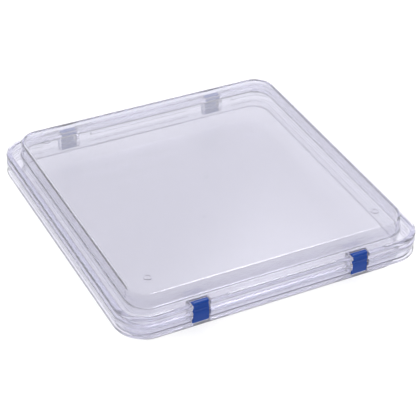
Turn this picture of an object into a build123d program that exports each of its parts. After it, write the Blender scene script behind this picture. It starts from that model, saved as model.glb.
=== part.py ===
from build123d import *
import os

# Square clear membrane box: two matching moulded halves closed face to face, an elastic film
# stretched on a two-part hoop in each, and four blue clips on round bars moulded into the rims.
# Millimetres, +Z up, +Y to the rear, origin on the table under the middle of the box.
# Everything in a half is drawn as the lower half; the lid's pieces mirror it in the parting plane.
# The halves differ in two places: the lid's bead is rounder, and the bottom edge of the base runs
# on below the two front clips.

# ---- driving dimensions ----
HEIGHT = 52.0
PART_Z = HEIGHT / 2
CLOSING_GAP = 0.05
RIM_TOP = PART_Z - CLOSING_GAP

FOOT_RISE = 0.6
FOOT_R = 4.0
FOOT_AT = 114.0
DIMPLE_R = 2.4
DIMPLE_DEEP = 0.5
GATE_R = 2.0
GATE_RISE = 1.0

WALL = 2.5
PLATEAU_HALF = 136.6
PLATEAU_CORNER = 20.0
DRAFT = 3.0
PLATEAU_EDGE_R = 2.0
WALL_FOOT_R = 2.5

LEDGE_Z = 15.3
SHELF_Z = LEDGE_Z + WALL
RIM_HALF = 147.6
RIM_INNER = 144.6
BEAD_HALF = 150.0
BEAD_CORNER = 27.5
BEAD_Z = 14.3
BEAD_TOP = 17.6
BEAD_EDGE_R = 2.0
LID_BEAD_Z = 14.0
LID_BEAD_TOP = 18.4
LID_BEAD_EDGE_R = 3.4
BEAD_BACK_R = 0.9
BEAD_INNER = 145.6
BAND_Z = 22.3

CLIP_X = 79.5
CLIP_WIDE = 15.0
BAY_HALF = 25.5
BAY_FACE = 147.9
BAY_SLOPE = 2.5
SLOT_HALF = 8.5
SLOT_DEPTH = 141.0
POCKET_WALL = 2.0
LIP_BACK = 148.2
LIP_TOP = 15.6
BAR_R = 1.0
BAR_AT = 145.0
BAR_Z = 18.0
LID_BAR_Z = HEIGHT - BAR_Z
ROLL_R = RIM_TOP - BAR_Z

FILM_TOP = 25.85
FILM_THICK = 0.3
FRAME_IN = 133.4
FRAME_OUT = 136.0
CLAMP_OUT = 138.6
SKIRT_Z = 20.0

BORE_R = 1.08
CURL_R = 3.4
HOOK_GAP = 0.15
SCOOP_R = 3.0
SCOOP_DEEP = 147.0


def corner(half):
    """Corner radius at a half width, concentric with the bead's corner."""
    return half - BEAD_HALF + BEAD_CORNER


def inner_corner(half):
    """Corner radius at a half width, concentric with the plateau's corner."""
    return half - PLATEAU_HALF + PLATEAU_CORNER


def slab(half, z0, z1, radius):
    """Rounded square block between two heights."""
    outline = Pos(0, 0, z0) * RectangleRounded(2 * half, 2 * half, radius)
    return extrude(outline, amount=z1 - z0)


def block(x0, x1, y0, y1, z0, z1):
    """Rectangular block from its limits."""
    centre = Pos((x0 + x1) / 2, (y0 + y1) / 2, (z0 + z1) / 2)
    return centre * Box(x1 - x0, abs(y1 - y0), z1 - z0)


def hoop(outer, inner, z0, z1):
    """Rounded square ring between two heights, concentric with the plateau's corner."""
    outside = slab(outer, z0, z1, inner_corner(outer))
    inside = slab(inner, z0 - 1, z1 + 1, inner_corner(inner))
    return outside - inside


def plateau_solid(half, z0, z1, radius, edge):
    """Drafted rounded square block with its lower edge rounded."""
    outline = Pos(0, 0, z0) * RectangleRounded(2 * half, 2 * half, radius)
    solid = extrude(outline, amount=z1 - z0, taper=-DRAFT)
    return fillet(solid.edges().group_by(Axis.Z)[0], edge)


def bead(z0, z1, edge):
    """Rounded bead that stands out from and above the ledge's outer edge."""
    outside = slab(BEAD_HALF, z0, z1, BEAD_CORNER)
    outside = fillet(outside.edges().group_by(Axis.Z)[0], edge)
    outside = fillet(outside.edges().group_by(Axis.Z)[-1], BEAD_BACK_R)
    inside = slab(BEAD_INNER, z0 - 1, LEDGE_Z, corner(BEAD_INNER))
    return outside - inside


def band():
    """Band along the parting line, rounded below."""
    solid = slab(BEAD_HALF, BAND_Z, RIM_TOP, BEAD_CORNER)
    return fillet(solid.edges().group_by(Axis.Z)[0], 1.4)


def rolling_edge():
    """Material taken off above the rear bars, so that the halves can roll round them."""
    corner_block = block(-BEAD_HALF - 1, BEAD_HALF + 1, BAR_AT, BEAD_HALF + 2, BAR_Z, PART_Z + 1)
    roll = Pos(0, BAR_AT, BAR_Z) * Rot(0, 90, 0) * Cylinder(ROLL_R, 2 * BEAD_HALF + 4)
    return corner_block - roll


def outer_form(is_lid):
    """Outside of one half before the bays are cut."""
    body = plateau_solid(PLATEAU_HALF, FOOT_RISE, LEDGE_Z + 1, PLATEAU_CORNER, PLATEAU_EDGE_R)
    body += slab(RIM_HALF, LEDGE_Z, RIM_TOP, corner(RIM_HALF))
    foot_edges = []
    for edge in body.edges():
        box = edge.bounding_box()
        flat = box.max.Z - box.min.Z < 0.01 and abs(box.min.Z - LEDGE_Z) < 0.01
        reach = max(abs(box.min.X), abs(box.max.X), abs(box.min.Y), abs(box.max.Y))
        if flat and reach < RIM_HALF - 5:
            foot_edges.append(edge)
    body = fillet(foot_edges, WALL_FOOT_R)
    if is_lid:
        return body + band() + bead(LID_BEAD_Z, LID_BEAD_TOP, LID_BEAD_EDGE_R)
    return body + band() + bead(BEAD_Z, BEAD_TOP, BEAD_EDGE_R)


def hollow():
    """Space inside one half: tray and rim."""
    tray = plateau_solid(PLATEAU_HALF - WALL, FOOT_RISE + WALL, PART_Z + 1, PLATEAU_CORNER - WALL, 1.0)
    rim = slab(RIM_INNER, SHELF_Z, PART_Z + 1, corner(RIM_INNER))
    return tray + rim


def bay_cut(x, side, low):
    """Stretch of the beads removed for a bay above a height, with sloping ends."""
    near = BAY_HALF
    far = BAY_HALF + BAY_SLOPE
    outline = Polygon(
        (x - near, side * BAY_FACE),
        (x + near, side * BAY_FACE),
        (x + far, side * (BAY_FACE + BAY_SLOPE)),
        (x - far, side * (BAY_FACE + BAY_SLOPE)),
        align=None,
    )
    cut = extrude(Pos(0, 0, low) * outline, amount=PART_Z)
    if low > LEDGE_Z:
        return cut
    return cut + block(x - near, x + near, side * 144.0, side * 151.0, low, LEDGE_Z)


def bay_fill(x, side):
    """Flat lug across a bay and the walls of its clip pocket."""
    lug = block(x - BAY_HALF, x + BAY_HALF, side * RIM_INNER, side * BAY_FACE, LEDGE_Z, RIM_TOP)
    reach = SLOT_HALF + POCKET_WALL
    inner = side * (SLOT_DEPTH - POCKET_WALL)
    return lug + block(x - reach, x + reach, inner, side * (RIM_INNER + 0.5), LEDGE_Z, RIM_TOP)


def slot_cut(x, side, low):
    """Slot through ledge and rim that a clip sits in, open outwards above a height."""
    x0 = x - SLOT_HALF
    x1 = x + SLOT_HALF
    through = block(x0, x1, side * SLOT_DEPTH, side * LIP_BACK, LID_BEAD_Z - 1, PART_Z + 1)
    return through + block(x0, x1, side * (LIP_BACK - 1), side * 152.0, low, PART_Z + 1)


def bar(x, side):
    """Round bar across a slot."""
    return Pos(x, side * BAR_AT, BAR_Z) * Rot(0, 90, 0) * Cylinder(BAR_R, 2 * SLOT_HALF + 2)


def foot(x, y):
    """Low round stacking foot with a dimple."""
    disc = Pos(x, y, FOOT_RISE / 2 + 0.25) * Cylinder(FOOT_R, FOOT_RISE + 0.5)
    disc = chamfer(disc.edges().group_by(Axis.Z)[0], 0.3)
    return disc - Pos(x, y, 0) * Cylinder(DIMPLE_R, 2 * DIMPLE_DEEP)


def shell(is_lid):
    """One clear moulded half."""
    bays = [(x, side) for x in (-CLIP_X, CLIP_X) for side in (-1, 1)]
    body = outer_form(is_lid) - hollow()
    for x, side in bays:
        lipped = side < 0 and not is_lid
        low = LIP_TOP if lipped else LID_BEAD_Z - 1
        body = body - bay_cut(x, side, low)
        body = body + bay_fill(x, side)
        body = body - slot_cut(x, side, low)
    body = body - rolling_edge()
    for x, side in bays:
        body = body + bar(x, side)
    for x in (-FOOT_AT, FOOT_AT):
        for y in (-FOOT_AT, FOOT_AT):
            body = body + foot(x, y)
    floor_z = FOOT_RISE + WALL
    nub = Pos(0, 0, floor_z) * Cylinder(GATE_R, 2 * GATE_RISE)
    return body + fillet(nub.edges().group_by(Axis.Z)[-1], 0.5)


def film_frame():
    """Inner hoop that the film is stretched over."""
    ring = hoop(FRAME_OUT, FRAME_IN, SHELF_Z, FILM_TOP - FILM_THICK)
    relief = slab(PLATEAU_HALF + 0.6, SHELF_Z - 1, SHELF_Z, PLATEAU_CORNER)
    return ring - relief


def film():
    """Elastic film: a flat sheet with a short skirt between the hoops."""
    outside = slab(FRAME_OUT + FILM_THICK, SKIRT_Z, FILM_TOP, inner_corner(FRAME_OUT + FILM_THICK))
    inside = slab(FRAME_OUT, SKIRT_Z - 1, FILM_TOP - FILM_THICK, inner_corner(FRAME_OUT))
    return outside - inside


def clamp_ring():
    """Outer hoop that presses over the film's skirt."""
    ring = hoop(CLAMP_OUT, FRAME_OUT + FILM_THICK, SHELF_Z, FILM_TOP - 0.25)
    return chamfer(ring.edges().group_by(Axis.Z)[-1], 0.35)


def clip_face():
    """Ribbed front of a clip between its two curls."""
    with BuildSketch(Plane.YZ) as face:
        with BuildLine():
            Spline((148.4, 18.0), (148.55, 21.0), (148.6, 24.6))
            Polyline((148.6, 24.6), (148.1, 27.4), (147.6, 27.6), (147.6, 28.2), (148.2, 28.4),
                     (148.2, 30.5), (147.6, 30.7), (147.6, 31.3), (148.3, 31.5), (148.4, 34.0),
                     (146.4, 34.0), (146.4, 18.0), (148.4, 18.0))
        make_face()
    return face.sketch


def round_at(radius, z):
    """Disc in the section plane, centred on a bar."""
    return Plane.YZ * Pos(BAR_AT, z) * Circle(radius)


def clip_section(hinge):
    """Section of a clip in the plane of outward distance and height."""
    section = clip_face() + round_at(CURL_R, BAR_Z) + round_at(CURL_R, LID_BAR_Z)
    scoop = Plane.YZ * Pos(SCOOP_DEEP + SCOOP_R, LID_BAR_Z) * Circle(SCOOP_R)
    section = section - scoop - round_at(BORE_R, BAR_Z)
    if hinge:
        return section - round_at(BORE_R, LID_BAR_Z)
    reach = LID_BAR_Z - BAR_Z + BAR_R + HOOK_GAP
    swing = round_at(reach, BAR_Z)
    inner = Plane.YZ * Pos((141.0 + 146.4) / 2, (22.0 + 36.0) / 2) * Rectangle(5.4, 14.0)
    return section - (swing & inner)


def clip(x, side, hinge):
    """One clip in place on its bars."""
    solid = extrude(clip_section(hinge), amount=CLIP_WIDE / 2, both=True)
    if side < 0:
        solid = mirror(solid, about=Plane.XZ)
    return Pos(x, 0, 0) * solid


def turned_over(piece):
    """The lid's copy of a lower piece, mirrored in the parting plane."""
    return mirror(piece, about=Plane.XY.offset(PART_Z))


def save(name, piece):
    """Write one sub-part."""
    solids = piece.solids()
    print(name, len(solids), round(sum(s.volume for s in solids), 1))
    export_step(solids[0] if len(solids) == 1 else piece, f"parts/{name}.step")


os.makedirs("parts", exist_ok=True)
save("base_shell", shell(False))
save("lid_shell", turned_over(shell(True)))
HOOPS = {"film": film(), "film_frame": film_frame(), "clamp_ring": clamp_ring()}
for key, piece in HOOPS.items():
    save(f"base_{key}", piece)
    save(f"lid_{key}", turned_over(piece))
save("front_left_clip", clip(-CLIP_X, -1, False))
save("front_right_clip", clip(CLIP_X, -1, False))
save("rear_left_clip", clip(-CLIP_X, 1, True))
save("rear_right_clip", clip(CLIP_X, 1, True))
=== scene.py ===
"""Clear membrane box: materials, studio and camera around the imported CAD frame. Metres, +Z up."""

import math

import bpy
from mathutils import Matrix, Vector

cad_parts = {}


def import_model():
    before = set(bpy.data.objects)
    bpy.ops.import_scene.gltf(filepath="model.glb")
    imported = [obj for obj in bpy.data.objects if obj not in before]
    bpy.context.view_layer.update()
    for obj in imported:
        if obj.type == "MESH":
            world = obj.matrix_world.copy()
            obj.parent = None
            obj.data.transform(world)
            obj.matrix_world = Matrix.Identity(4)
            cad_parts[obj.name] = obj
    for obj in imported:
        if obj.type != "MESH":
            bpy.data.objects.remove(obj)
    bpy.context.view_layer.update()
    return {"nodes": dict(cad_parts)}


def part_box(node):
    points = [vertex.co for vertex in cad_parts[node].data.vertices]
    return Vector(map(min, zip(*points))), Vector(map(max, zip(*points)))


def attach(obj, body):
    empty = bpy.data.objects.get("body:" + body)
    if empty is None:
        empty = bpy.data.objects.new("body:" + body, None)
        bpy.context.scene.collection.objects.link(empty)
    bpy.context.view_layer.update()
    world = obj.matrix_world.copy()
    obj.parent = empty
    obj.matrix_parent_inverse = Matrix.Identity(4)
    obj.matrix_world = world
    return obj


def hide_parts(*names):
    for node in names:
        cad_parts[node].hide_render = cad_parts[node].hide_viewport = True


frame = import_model()

# ---- camera: place and axes in the row frame ----
CAMERA_AT = (-0.5442, -1.0073, 0.8505)
CAMERA_RIGHT = (0.888824, -0.456993, 0.033890)
CAMERA_UP = (0.246105, 0.538426, 0.805934)
CAMERA_BACK = (-0.386554, -0.707993, 0.591035)
LENS_MM = 128.1
SENSOR_MM = 36.0

# ---- looks ----
EDGE_TINT = (0.61, 0.60, 0.78)
COAT = 0.7
COAT_ROUGHNESS = 0.12
COAT_IOR = 1.5
FILM_GLOSS = 0.06
CLIP_BLUE = (0.0, 0.038, 0.25)
CLIP_ROUGHNESS = 0.12
CLIP_SPECULAR = 0.25
SHARP_ANGLE = math.radians(35)
FILM_HALF_THICK = 0.00015
FILM_CORNER = 0.0197
CORNER_STEPS = 10

# ---- studio ----
FLOOR_SIZE = 12
FLOOR_GREY = 0.90
FLOOR_ROUGHNESS = 0.9
WORLD_STRENGTH = 1.0
LAMP_AT = (0.5, 0.2, 1.25)
LAMP_SIZE = (0.9, 0.35)
LAMP_WATTS = 7


# ---- materials ----
def principled(name):
    """New material and its Principled node."""
    material = bpy.data.materials.new(name)
    material.use_nodes = True
    return material, material.node_tree.nodes["Principled BSDF"]


def clear_plastic(name, tint, clarity, roughness, ior, density):
    """Clear moulded polystyrene with a coat, and absorption through its thickness."""
    material, shader = principled(name)
    shader.inputs["Base Color"].default_value = (*tint, 1)
    shader.inputs["Transmission Weight"].default_value = clarity
    shader.inputs["Roughness"].default_value = roughness
    shader.inputs["IOR"].default_value = ior
    shader.inputs["Coat Weight"].default_value = COAT
    shader.inputs["Coat Roughness"].default_value = COAT_ROUGHNESS
    shader.inputs["Coat IOR"].default_value = COAT_IOR
    depth = material.node_tree.nodes.new("ShaderNodeVolumeAbsorption")
    depth.inputs["Color"].default_value = (*EDGE_TINT, 1)
    depth.inputs["Density"].default_value = density
    output = material.node_tree.nodes["Material Output"]
    material.node_tree.links.new(depth.outputs[0], output.inputs["Volume"])
    return material


def see_through(name, tint, roughness):
    """Thin clear material with an even gloss, which doesn't bend what is seen through it."""
    material, shader = principled(name)
    nodes = material.node_tree.nodes
    links = material.node_tree.links
    nodes.remove(shader)
    clear = nodes.new("ShaderNodeBsdfTransparent")
    clear.inputs["Color"].default_value = (*tint, 1)
    mix = nodes.new("ShaderNodeMixShader")
    mix.inputs[0].default_value = FILM_GLOSS
    gloss = nodes.new("ShaderNodeBsdfGlossy")
    gloss.inputs["Roughness"].default_value = roughness
    links.new(clear.outputs[0], mix.inputs[1])
    links.new(gloss.outputs[0], mix.inputs[2])
    links.new(mix.outputs[0], nodes["Material Output"].inputs["Surface"])
    return material


def blue_plastic(name):
    """Royal blue moulded plastic."""
    material, shader = principled(name)
    shader.inputs["Base Color"].default_value = (*CLIP_BLUE, 1)
    shader.inputs["Roughness"].default_value = CLIP_ROUGHNESS
    shader.inputs["Specular IOR Level"].default_value = CLIP_SPECULAR
    return material


def dress(node, material):
    """Smooth shading and one material on a CAD node."""
    obj = frame["nodes"][node]
    obj.data.materials.clear()
    obj.data.materials.append(material)
    obj.data.shade_smooth()
    obj.data.set_sharp_from_angle(angle=SHARP_ANGLE)
    return obj


def lets_light_through(obj):
    """Lamps and bounced light pass the clear piece, so what lies under it is lit."""
    obj.visible_shadow = False
    obj.visible_diffuse = False


def rounded_square(half, radius, z, steps):
    """Corner-rounded square as a closed list of points."""
    points = []
    for quarter in range(4):
        start = quarter * math.pi / 2
        cx = (half - radius) * (1 if quarter in (0, 3) else -1)
        cy = (half - radius) * (1 if quarter in (0, 1) else -1)
        for i in range(steps + 1):
            angle = start + i * math.pi / 2 / steps
            points.append((cx + radius * math.cos(angle), cy + radius * math.sin(angle), z))
    return points


def film_sheet(half):
    """Elastic film stretched flat over its hoop, in the middle of the CAD film's thickness."""
    low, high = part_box(f"{half}_film")
    z = high.z - FILM_HALF_THICK if half == "base" else low.z + FILM_HALF_THICK
    reach = high.x
    outline = rounded_square(reach, FILM_CORNER, z, CORNER_STEPS)
    mesh = bpy.data.meshes.new(f"{half}_film_sheet")
    mesh.from_pydata(outline, [], [list(range(len(outline)))])
    mesh.materials.append(FILM)
    obj = bpy.data.objects.new(f"{half}_film_sheet", mesh)
    bpy.context.scene.collection.objects.link(obj)
    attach(obj, half)
    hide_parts(f"{half}_film")
    return obj


# The refraction indices are set below real polystyrene's.
SHELL = clear_plastic(
    "clear_shell",
    tint=(0.912, 0.91, 0.948),
    clarity=0.92,
    roughness=0.04,
    ior=1.37,
    density=55,
)
HOOP = clear_plastic(
    "clear_hoop",
    tint=(0.93, 0.93, 0.95),
    clarity=0.96,
    roughness=0.05,
    ior=1.08,
    density=5,
)
FILM = see_through("film", tint=(0.91, 0.907, 0.921), roughness=0.04)
CLIP = blue_plastic("blue_clip")

for half in ("base", "lid"):
    lets_light_through(dress(f"{half}_shell", SHELL))
    film_sheet(half)
    lets_light_through(dress(f"{half}_film_frame", HOOP))
    ring = dress(f"{half}_clamp_ring", HOOP)
    lets_light_through(ring)
    # Hidden from rays that have passed clear plastic: seen through the shells, it darkens the rim.
    ring.visible_transmission = False
for place in ("front_left", "front_right", "rear_left", "rear_right"):
    dress(f"{place}_clip", CLIP).visible_shadow = False


# ---- stage, light and camera ----
def floor():
    """Plain pale floor."""
    bpy.ops.mesh.primitive_plane_add(size=FLOOR_SIZE, location=(0, 0, 0))
    plane = bpy.context.object
    plane.name = "floor"
    material, shader = principled("floor_white")
    shader.inputs["Base Color"].default_value = (FLOOR_GREY, FLOOR_GREY, FLOOR_GREY, 1)
    shader.inputs["Roughness"].default_value = FLOOR_ROUGHNESS
    plane.data.materials.append(material)


def world(strength):
    """Even white surroundings."""
    surroundings = bpy.data.worlds.new("studio")
    bpy.context.scene.world = surroundings
    surroundings.use_nodes = True
    background = surroundings.node_tree.nodes["Background"]
    background.inputs["Color"].default_value = (1, 1, 1, 1)
    background.inputs["Strength"].default_value = strength


def softbox(name, at, target, width, height, power):
    """Rectangular lamp aimed at a point."""
    lamp = bpy.data.lights.new(name, "AREA")
    lamp.shape = "RECTANGLE"
    lamp.size = width
    lamp.size_y = height
    lamp.energy = power
    obj = bpy.data.objects.new(name, lamp)
    obj.location = at
    obj.rotation_euler = (Vector(target) - Vector(at)).to_track_quat("-Z", "Y").to_euler()
    bpy.context.scene.collection.objects.link(obj)


def camera():
    """Camera at the picture's viewing angle."""
    lens = bpy.data.cameras.new("camera")
    lens.lens = LENS_MM
    lens.sensor_width = SENSOR_MM
    obj = bpy.data.objects.new("camera", lens)
    axes = Matrix((CAMERA_RIGHT, CAMERA_UP, CAMERA_BACK)).transposed()
    obj.matrix_world = Matrix.Translation(CAMERA_AT) @ axes.to_4x4()
    bpy.context.scene.collection.objects.link(obj)
    bpy.context.scene.camera = obj


floor()
world(WORLD_STRENGTH)
softbox("overhead", LAMP_AT, (0, 0, 0), *LAMP_SIZE, LAMP_WATTS)
camera()
bpy.context.scene.view_settings.view_transform = "Standard"
